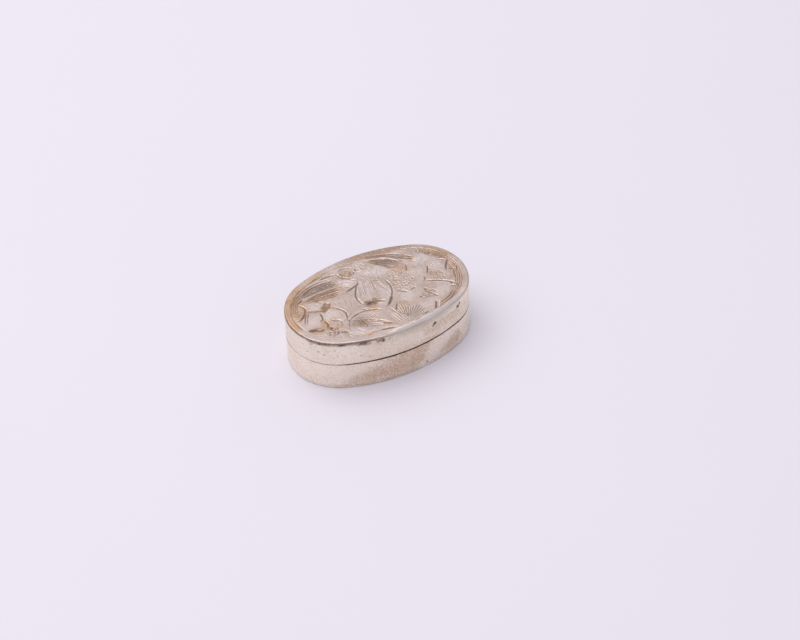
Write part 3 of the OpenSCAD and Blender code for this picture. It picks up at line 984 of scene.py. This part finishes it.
def engrave_scalloped_flower(graver):
    """Four broad petals round a dark middle at the front left."""
    graver.cuts(
        ([(-15.1, 2), (-16.2, 0.2), (-17.3, -1.9)], 0.28, 0.09, 0.65),
        ([(-14.7, 1.8), (-15.8, -0.1), (-16.9, -2.2)], 0.26, 0.08, 0.5),
        ([(-12.9, 0.2), (-13.1, -1.4), (-13.6, -2)], 0.46, 0.13, 0.9),
        ([(-13.4, -1.9), (-14, -2.1)], 0.34, 0.11, 0.9),
        ([(-13.2, -2.2), (-13, -3.6), (-13.6, -4.8)], 0.44, 0.13, 0.85),
        ([(-9.8, -0.2), (-8.8, -0.9), (-8.3, -2.2), (-8.6, -3.6), (-9.1, -4.5)], 0.4, 0.12, 0.8),
        ([(-10.2, 0.8), (-9.2, -0.2), (-8.8, -0.9)], 0.34, 0.1, 0.7),
        ([(-14.4, 4.2), (-12.2, 3.9), (-11, 2.2)], 0.28, 0.08, 0.5),
        ([(-16, -4.2), (-15, -4.8), (-14.2, -4.6)], 0.46, 0.13, 0.9),
    )
    graver.pit((-12.9, -5), 0.5, 0.14, 1)
    for name, amount in (("stain", 1), ("amber", 0.9), ("grime", 0.4)):
        graver.tint(name, (-11.1, 1.2), (1.5, 0.85), amount, 48, soft=0.2)
    graver.hatch([(-12.1, 0.5), (-10.6, 2.5)], [(-11.1, 0.1), (-9.9, 1.9)], 5, 0.3, 0.1, 0.7)
    for i in range(6):
        graver.cut([(-15.3 + 0.5 * i, 2.4 - 0.2 * i), (-14.2 + 0.5 * i, 1 - 0.2 * i)], 0.3, 0.08, 0.7)
    for i in range(4):
        graver.cut([(-11.8 + 0.35 * i, -2.7 - 0.2 * i), (-11.3 + 0.35 * i, -3.6 - 0.2 * i)], 0.26, 0.09, 0.7)
    graver.stipple((-13, -6.4), (1.4, 1.3), 46, radius=0.2, dark=0.75)
    graver.hatch([(-12, -6), (-11.9, -8)], [(-10.4, -6.9), (-10.1, -9)], 5, 0.3, 0.11, 0.8)
    # painted glint: a light line along the border at the left end, with no dirt
    glint_x, glint_y = on_outline(np.radians(np.linspace(-179, -158, 5)), 1.75)
    graver.cut(list(zip(glint_x, glint_y)), 0.3, 0.02, 0, 1)
    graver.tints(
        "amber", ((-13.4, -3.7), (0.9, 1.8), 0.9), ((-9.4, -0.3), (1.3, 0.7), 0.6, -45),
        ((-11.4, -3), (1.2, 0.8), 0.5), ((-15.2, -4.6), (2, 0.9), 0.8, -15),
    )
    graver.tints(
        "stain", ((-14.7, 2.1), (1.3, 0.9), 0.45, -15), ((-7, 0.8), (2.6, 2.2), 0.3),
        ((-15.6, -4.4), (1.6, 0.7), 0.7, -15), ((-13, -6.4), (1.6, 1.4), 0.5),
    )
    graver.tint("grime", (-16.6, -3.95), (1, 0.45), 0.9, -8)
    graver.mounds(
        ((-14.8, -1), (1.6, 1.6), 0.05), ((-13, 3), (1.6, 1.3), 0.05), ((-10.6, -1.8), (1.7, 1.9), 0.05),
    )


# (place, size, amount) of the amber tarnish between the motifs
WARM_GROUND = [
    ((7.5, 4.6), (2.2, 1.2), 0.45), ((6, 0.5), (2.5, 2.6), 0.15), ((3.4, -6), (2.2, 1.3), 0.35),
    ((2, 11.2), (3.2, 0.6), 0.6), ((8.5, 10.8), (2.6, 0.6), 0.7), ((-16.4, 6.4), (2.2, 1.3), 1),
    ((-14, 8.4), (2.6, 0.8), 0.9), ((-2.9, 8.5), (2, 1.7), 0.4), ((12.2, -8.4), (2.2, 0.9), 0.6),
    ((-8, 3.4), (1.6, 1), 0.4), ((4.2, 8.6), (2, 0.9), 0.4), ((-12.2, -5.2), (1.8, 1), 0.5),
    ((-1, -9), (1.6, 1.4), 0.3), ((12.8, -1.2), (1.8, 1.8), 0.2), ((9.8, 3.6), (1.2, 1.6), 0.3),
]

# (place, size, amount) of the petals that are rubbed bare between their strokes
BARE_PETALS = [
    ((-14.7, -1.2), (1.9, 1.7), 0.35), ((-13, 3), (1.7, 1.2), 0.3), ((-10.9, -1.4), (2, 1.5), 0.45),
    ((-3.6, 6.2), (2.1, 1.2), 0.7), ((0.5, 7), (1.8, 1.5), 0.35),
    ((3.2, 6.2), (1.6, 2), 0.6), ((-1.6, 2.6), (1.9, 2.3), 0.8), ((1.6, -1.2), (1.5, 2.2), 0.55),
    ((4.8, -3.6), (1.5, 1.8), 0.7), ((9.8, 1.2), (1.5, 2), 0.25), ((12.2, 5), (2.4, 1.7), 0.85),
    ((9.4, 9.6), (2.4, 0.7), 0.5), ((14.9, 2.4), (1.3, 2.2), 0.6), ((12.7, -5.6), (2.2, 1.7), 0.6),
    ((-8.6, -8.6), (1.7, 1.1), 0.6), ((-6.6, -9.9), (1.6, 0.4), 0.9),
    ((0.6, 10.2), (1.6, 0.8), 0.4), ((7.6, -8.2), (1.4, 1.3), 0.4),
    ((-16.9, -2.6), (0.8, 1.2), 0.5),
]

MOTIFS = (
    engrave_left_end, engrave_long_leaf, engrave_top_buds, engrave_right_leaves, engrave_big_flower,
    engrave_right_petals, engrave_front_right, engrave_lower_leaf, engrave_scalloped_flower,
)


def scratch_ground(graver, inset):
    """Light strokes between the motifs, bare petals, a plain margin, and scratches over all."""
    for _ in range(300):
        start_x, start_y = random.uniform(-17.5, 17), random.uniform(-11, 11.5)
        lie = math.radians(35 + 50 * math.sin(start_x * 0.55 + 0.4) + 40 * math.cos(start_y * 0.7))
        half = 0.5 * random.uniform(0.7, 1.9)
        dx, dy = half * math.cos(lie), half * math.sin(lie)
        stroke = [(start_x - dx, start_y - dy), (start_x, start_y + 0.12), (start_x + dx, start_y + dy)]
        graver.cut(stroke, random.uniform(0.16, 0.24), 0.04, random.uniform(0.1, 0.4))
    fields = graver.fields
    bare = fields["petal"] * (1 - np.clip(fields["grime"] * 1.5, 0, 1)) * (1 - 0.6 * fields["stain"])
    graver.lay("bright", 0.75 * bare)
    for name in ("depth", "grime", "bright", "swell"):
        fields[name] *= smooth(inset, MARGIN + BORDER_W, MARGIN + BORDER_W + 0.1)
    for _ in range(90):
        start = np.array([random.uniform(-18, 18), random.uniform(-12, 12)])
        turn, length = random.uniform(0, math.pi), random.uniform(0.6, 3)
        stroke = [start, start + length * np.array([math.cos(turn), math.sin(turn)])]
        graver.cut(stroke, 0.16, 0.02, 0.25, 0.4)


def wear_border(graver, inset, direction):
    """The border groove, and the stains, dirt and bare metal along the lid's edge. Places
    along it are directions in degrees: 0 is the right end, 90 the back, -90 the front."""
    x, y, turn = graver.x, graver.y, np.degrees(direction)
    uneven = 0.5 + 0.5 * waves(x, y, 0, 2.0, 83)
    patchy = 0.5 + 0.5 * waves(x, y, 0, 3.0, 81)
    front_left = front_left_wear(direction)
    back_left = band(turn, 90, 120, 165, 180)
    back_middle = band(turn, 58, 72, 88, 100)
    back_right = smooth(turn, 6, 20) * (1 - 0.7 * smooth(turn, 18, 32)) * fade(turn, 66, 84)
    left_end = np.maximum(smooth(turn, 128, 160), fade(turn, -172, -150))
    right_end = band(turn, -42, -24, 4, 20)
    front_right = band(turn, -86, -60, 0, 20)

    groove = np.clip(1 - np.abs(inset - MARGIN - BORDER_W / 2) / (BORDER_W / 2), 0, 1) ** 0.7
    groove *= 1 - 0.8 * front_left
    dirt = 0.2 + 0.4 * back_left + 0.55 * back_right + 0.35 * front_right
    edge = fade(inset, 1.2, 2.6)
    outer_edge = fade(inset, 0.25, 1.2)
    inner_band = band(inset, 0.7, 1.1, 1.9, 3.0)
    streaks = fade(np.abs(inset - 0.65 - 0.25 * waves(x, y, 0, 5.0, 84)), 0.08, 0.3)
    for name, values in (
        ("depth", (0.02 + 0.07 * uneven) * groove),
        ("grime", groove * dirt * (0.4 + 0.8 * uneven)),
        ("amber", edge * left_end * (0.7 + 0.3 * patchy)),
        ("amber", 0.6 * edge * back_left * (0.2 + 0.8 * patchy)),
        ("amber", 0.5 * outer_edge * back_right),
        ("stain", 0.7 * outer_edge * back_right),
        ("stain", outer_edge * (0.15 + 0.1 * back_left)),
        ("stain", edge * back_middle * (0.7 + 0.3 * patchy)),
        ("stain", 0.6 * inner_band * right_end * uneven),
        ("stain", 0.7 * streaks * left_end * uneven),
        ("stain", 0.1 + 0.3 * patchy * smooth(inset, 1.3, 1.6)),
    ):
        graver.lay(name, values)

    for tick in np.radians(np.arange(52, 128, 1.6)):
        foot, head = random.uniform(0.15, 0.5), random.uniform(0.7, 1.2)
        ends = [on_outline(tick, foot), on_outline(tick + 0.002, head)]
        graver.cut([(float(px), float(py)) for px, py in ends], 0.2, 0.03, random.uniform(0.1, 0.6))
    rubbed = np.maximum(front_right_wear(direction), front_left) * fade(inset, 1.2, 1.5)
    for name in ("stain", "amber", "grime"):
        graver.fields[name] *= 1 - 0.85 * rubbed
    graver.lay("bright", rubbed * (0.7 - 0.55 * front_left))
    graver.lay("grime", 0.2 * rubbed * front_left)


def engrave_lid(x, y, inset, direction):
    """All the marks on the lid's face, as fields over its points."""
    graver = Engraver(x, y)
    for place, size, amount in WARM_GROUND:
        graver.tint("amber", place, size, amount, soft=0.6)
    for place, size, amount in BARE_PETALS:
        graver.tint("petal", place, size, amount, soft=0.5)
    for engrave in MOTIFS:
        engrave(graver)
    scratch_ground(graver, inset)
    wear_border(graver, inset, direction)
    return graver.fields


def build_lid_plate(lid_face_silver):
    rings = 1120
    insets = [1.6, 1.56, 1.52, 1.48, 1.43, 1.38, 1.34, 1.3, 1.15, 0.95, 0.75, 0.55, 0.4, 0.3]
    rim = [(inset, TOP) for inset in insets[1:]]
    rim += [(0.2, TOP - 0.03), (0.1, TOP - 0.08), (0.04, TOP - 0.15), (0, TOP - 0.24)]
    rim += [(0, LID_JOINT + 0.05), (0.04, LID_JOINT), (0.5, LID_JOINT), (1.4, LID_JOINT)]
    across, along_field = 344, rings // 2 - 344
    points, faces = build_plate(across, along_field, insets[0], TOP, rim)
    x, y, z = points.T
    inset, direction = outline_of(x, y)
    fields = engrave_lid(x, y, inset, direction)
    face = z > TOP - 0.02
    points[:, 2] += face * (fields["swell"] - fields["depth"] + 0.02 * waves(x, y, 0, 9, 82))
    points = wear_lid(points)
    in_joint = (z < TOP - 0.2) * joint_grime(np.column_stack([x, y, z]))
    turn = np.degrees(direction)
    # painted shade: the rim's rounding darkened at the left end and the front left
    painted_rim_shade = np.maximum(smooth(turn, 150, 176), fade(turn, -106, -94))
    grime = np.maximum(face * fields["grime"], in_joint)
    grime = np.maximum(grime, 0.8 * painted_rim_shade * smooth(TOP - z, 0.01, 0.05))
    make_piece(
        "lid_plate", points, faces, lid_face_silver, LID, sharp=60,
        stain=fields["stain"], grime=grime, bright=face * fields["bright"], amber=fields["amber"],
    )


# ---- materials

class Nodes:
    """Short calls for building a material's node tree."""

    def __init__(self, name):
        self.material = bpy.data.materials.new(name)
        self.material.use_nodes = True
        self.tree = self.material.node_tree
        self.tree.nodes.clear()

    def add(self, kind, inputs=None, **settings):
        """Adds a node; inputs may be plain values or other sockets."""
        made = self.tree.nodes.new(kind)
        for key, value in settings.items():
            setattr(made, key, value)
        for key, value in (inputs or {}).items():
            if isinstance(value, bpy.types.NodeSocket):
                self.tree.links.new(value, made.inputs[key])
            else:
                made.inputs[key].default_value = value
        return made

    def mark(self, name):
        """The value of a mesh attribute."""
        return self.add("ShaderNodeAttribute", attribute_name=name).outputs["Fac"]

    def noise(self, place, scale, detail=3.0, roughness=0.55):
        made = self.add("ShaderNodeTexNoise", {
            "Vector": place, "Scale": scale, "Detail": detail, "Roughness": roughness
        })
        return made.outputs["Fac"]

    def span(self, value, low, high, to_low=0.0, to_high=1.0):
        made = self.add("ShaderNodeMapRange", {
            "Value": value, "From Min": low, "From Max": high, "To Min": to_low, "To Max": to_high
        }, interpolation_type="SMOOTHSTEP")
        return made.outputs["Result"]

    def math(self, how, *values, clamp=False):
        """Works through the values from the left; only the last result is clamped."""
        result = values[0]
        for left, value in enumerate(values[1:], 2):
            last = clamp and left == len(values)
            made = self.add("ShaderNodeMath", {0: result, 1: value}, operation=how, use_clamp=last)
            result = made.outputs[0]
        return result

    def times(self, *values, clamp=False):
        return self.math("MULTIPLY", *values, clamp=clamp)

    def blend(self, share, a, b):
        """Mixes two colours, each a socket or plain red, green and blue."""
        a, b = ((*tone, 1) if isinstance(tone, tuple) else tone for tone in (a, b))
        return self.add("ShaderNodeMix", {0: share, 6: a, 7: b}, data_type="RGBA").outputs[2]


def silver(
    name, tone, warm_tone, stain_tone, grime_tone, rough=(0.3, 0.44), speck=0.5, texture=0.6,
    dapple=0.35, grain_scale=2.6, engraved=False,
):
    """Old silver: mottled tone, tarnish where stained, black-brown dirt in the cuts, painted shade in seams,
    on rims and over the inside floor, fine scratches and small specks; on the engraved face, bare metal and
    painted highlights. Marks for stain and for dirt and painted shade come from the mesh."""
    nodes = Nodes(name)
    origin = nodes.add("ShaderNodeTexCoord").outputs["Object"]
    place = nodes.add("ShaderNodeMapping", {"Vector": origin, "Scale": (1000, 1000, 1000)}).outputs[0]
    stain, grime = nodes.mark("stain"), nodes.mark("grime")

    clouds = nodes.noise(place, 0.28, 4)
    patches = nodes.noise(place, 1.1, 5, 0.65)
    grain = nodes.noise(place, grain_scale, 4, 0.7)

    base = nodes.blend(nodes.span(clouds, 0.38, 0.66), tone, warm_tone)
    if engraved:
        base = nodes.blend(nodes.times(nodes.mark("amber"), 0.85), base, AMBER)
    raggedness = nodes.span(patches, 0.3, 0.7, 0.7, 1.15)
    graininess = nodes.span(grain, 0.35, 0.65, 1 - dapple, 1 + dapple)
    stained = nodes.times(stain, raggedness, graininess, clamp=True)
    base = nodes.blend(stained, base, stain_tone)
    base = nodes.blend(nodes.times(nodes.span(grain, 0.46, 0.68), speck), base, stain_tone)
    dirt_and_shade_share = nodes.times(grime, nodes.span(grain, 0.3, 0.7, 0.75, 1.15), clamp=True)
    base = nodes.blend(dirt_and_shade_share, base, grime_tone)
    if engraved:
        # bare metal, and painted highlights beside cuts and on glints
        base = nodes.blend(nodes.times(nodes.mark("bright"), 0.85), base, HIGHLIGHT_AND_BARE_SILVER)

    scratches = []
    for turn, length, width in ((0.35, 4.0, 0.11), (-0.7, 5.0, 0.14), (1.9, 3.3, 0.09)):
        lined = nodes.add("ShaderNodeMapping", {
            "Vector": place, "Rotation": (0.1, 0.1, turn), "Scale": (length, width, width)
        }, vector_type="TEXTURE").outputs[0]
        scratches.append(nodes.span(nodes.noise(lined, 1.0, 2), 0.66, 0.72))
    scratched = nodes.math("MAXIMUM", *scratches)

    roughness = nodes.math(
        "ADD", nodes.span(patches, 0.3, 0.7, *rough), nodes.times(stained, 0.1),
        nodes.times(dirt_and_shade_share, 0.25), nodes.times(scratched, 0.05), clamp=True,
    )
    height = nodes.math(
        "ADD", nodes.times(grain, 0.5), nodes.times(patches, 0.8), nodes.times(scratched, -0.25)
    )
    bump = nodes.add("ShaderNodeBump", {"Height": height, "Strength": texture, "Distance": 0.00008})

    shader = nodes.add("ShaderNodeBsdfPrincipled", {
        "Base Color": base, "Roughness": roughness, "Metallic": 1.0, "Normal": bump.outputs[0]
    })
    nodes.add("ShaderNodeOutputMaterial", {"Surface": shader.outputs[0]})
    return nodes.material


def floor_material():
    """Smooth pale lavender-white board with the faintest unevenness."""
    nodes = Nodes("pale_floor")
    place = nodes.add("ShaderNodeTexCoord").outputs["Object"]
    cloud = nodes.noise(place, 9.0, 2)
    tone = nodes.blend(cloud, (0.79, 0.755, 0.83), (0.81, 0.775, 0.85))
    shader = nodes.add("ShaderNodeBsdfPrincipled", {"Base Color": tone, "Roughness": 0.75})
    nodes.add("ShaderNodeOutputMaterial", {"Surface": shader.outputs[0]})
    return nodes.material


# ---- the scene

def lay_floor():
    """A plain square, a hair below the box's flat foot."""
    mesh = bpy.data.meshes.new("floor")
    half, level = 3.0, -0.03 * MM
    mesh.from_pydata(
        [(-half, -half, level), (half, -half, level), (half, half, level), (-half, half, level)],
        [], [(0, 1, 2, 3)],
    )
    mesh.materials.append(floor_material())
    floor = bpy.data.objects.new("floor", mesh)
    bpy.context.scene.collection.objects.link(floor)


def light_the_scene():
    """An even white surround, and one large soft light above and behind to the left."""
    world = bpy.data.worlds.new("studio")
    world.use_nodes = True
    background = world.node_tree.nodes["Background"]
    background.inputs["Color"].default_value = (0.95, 0.945, 1.0, 1)
    background.inputs["Strength"].default_value = 0.65
    bpy.context.scene.world = world

    light = bpy.data.lights.new("softbox", "AREA")
    light.size, light.energy, light.color = 0.9, 4.1, (1, 0.985, 0.975)
    lamp = bpy.data.objects.new("softbox", light)
    lamp.location = (-0.2, 0.22, 0.75)
    lamp.rotation_euler = (-lamp.location).to_track_quat("-Z", "Y").to_euler()
    bpy.context.scene.collection.objects.link(lamp)


def set_camera():
    """The view direction in degrees, the distance and the aim point in millimetres."""
    elevation, azimuth, roll = map(math.radians, (41.64, -25.92, -2.717))
    distance, focal_px, width_px = 516.5, 2500, 800
    back = Vector((
        math.sin(azimuth) * math.cos(elevation), -math.cos(azimuth) * math.cos(elevation),
        math.sin(elevation),
    ))
    right = Vector((math.cos(azimuth), math.sin(azimuth), 0))
    up = back.cross(right)
    target = Vector((0, 0, TOP / 2)) + right * 0.2231 * HALF_LENGTH - up * 0.0638 * HALF_LENGTH
    across = right * math.cos(roll) + up * math.sin(roll)
    upward = up * math.cos(roll) - right * math.sin(roll)

    camera = bpy.data.cameras.new("camera")
    camera.sensor_width = 36
    camera.lens = camera.sensor_width * focal_px / width_px
    camera.clip_start, camera.clip_end = 0.01, 20
    eye = bpy.data.objects.new("camera", camera)
    place = (target + back * distance) * MM
    eye.matrix_world = Matrix((
        (across.x, upward.x, back.x, place.x), (across.y, upward.y, back.y, place.y),
        (across.z, upward.z, back.z, place.z), (0, 0, 0, 1),
    ))
    bpy.context.scene.collection.objects.link(eye)
    bpy.context.scene.camera = eye
    bpy.context.scene.view_settings.view_transform = "Standard"


# the tone of bare metal, and of painted highlights on the engraved face
HIGHLIGHT_AND_BARE_SILVER = (0.84, 0.745, 0.745)
SILVER = (0.765, 0.648, 0.605)
WARM_SILVER = (0.68, 0.56, 0.51)
AMBER = (0.65, 0.39, 0.21)
ENGRAVED_TARNISH = (0.42, 0.285, 0.21)
# dirt tones, which also serve for painted shade
ENGRAVED_DIRT_AND_SHADE = (0.205, 0.13, 0.09)
TARNISH = (0.38, 0.275, 0.215)
DIRT_AND_SHADE = (0.17, 0.115, 0.085)

base_silver = silver(
    "base_silver", (0.94, 0.845, 0.74), (0.9, 0.79, 0.67), (0.66, 0.495, 0.37), DIRT_AND_SHADE, (0.24, 0.38),
    speck=0.38, texture=1.0, dapple=0.6,
)
lid_silver = silver(
    "lid_silver", (0.91, 0.82, 0.71), (0.87, 0.765, 0.645), (0.68, 0.53, 0.40), DIRT_AND_SHADE, (0.24, 0.38),
    speck=0.38, texture=1.0, dapple=0.6,
)
face_silver = silver(
    "engraved_silver", SILVER, WARM_SILVER, ENGRAVED_TARNISH, ENGRAVED_DIRT_AND_SHADE, (0.3, 0.46), speck=0.3,
    texture=0.3, grain_scale=4.5, engraved=True,
)
inner_silver = silver(
    "inner_silver", (0.74, 0.65, 0.55), (0.68, 0.57, 0.46), (0.46, 0.34, 0.25), DIRT_AND_SHADE, rough=(0.24, 0.4)
)
hinge_silver = silver("hinge_silver", (0.74, 0.64, 0.56), (0.66, 0.54, 0.44), TARNISH, DIRT_AND_SHADE)
pin_silver = silver("pin_silver", (0.66, 0.58, 0.52), (0.6, 0.5, 0.42), TARNISH, DIRT_AND_SHADE, rough=(0.25, 0.4))

build_base_plate(base_silver)
build_walls(base_silver, lid_silver)
build_bezel(inner_silver)
build_bearer(inner_silver)
for knuckle, knuckle_side in KNUCKLES.items():
    build_knuckle(knuckle, knuckle_side, hinge_silver)
build_pin(pin_silver)
build_lid_plate(face_silver)

lay_floor()
light_the_scene()
set_camera()
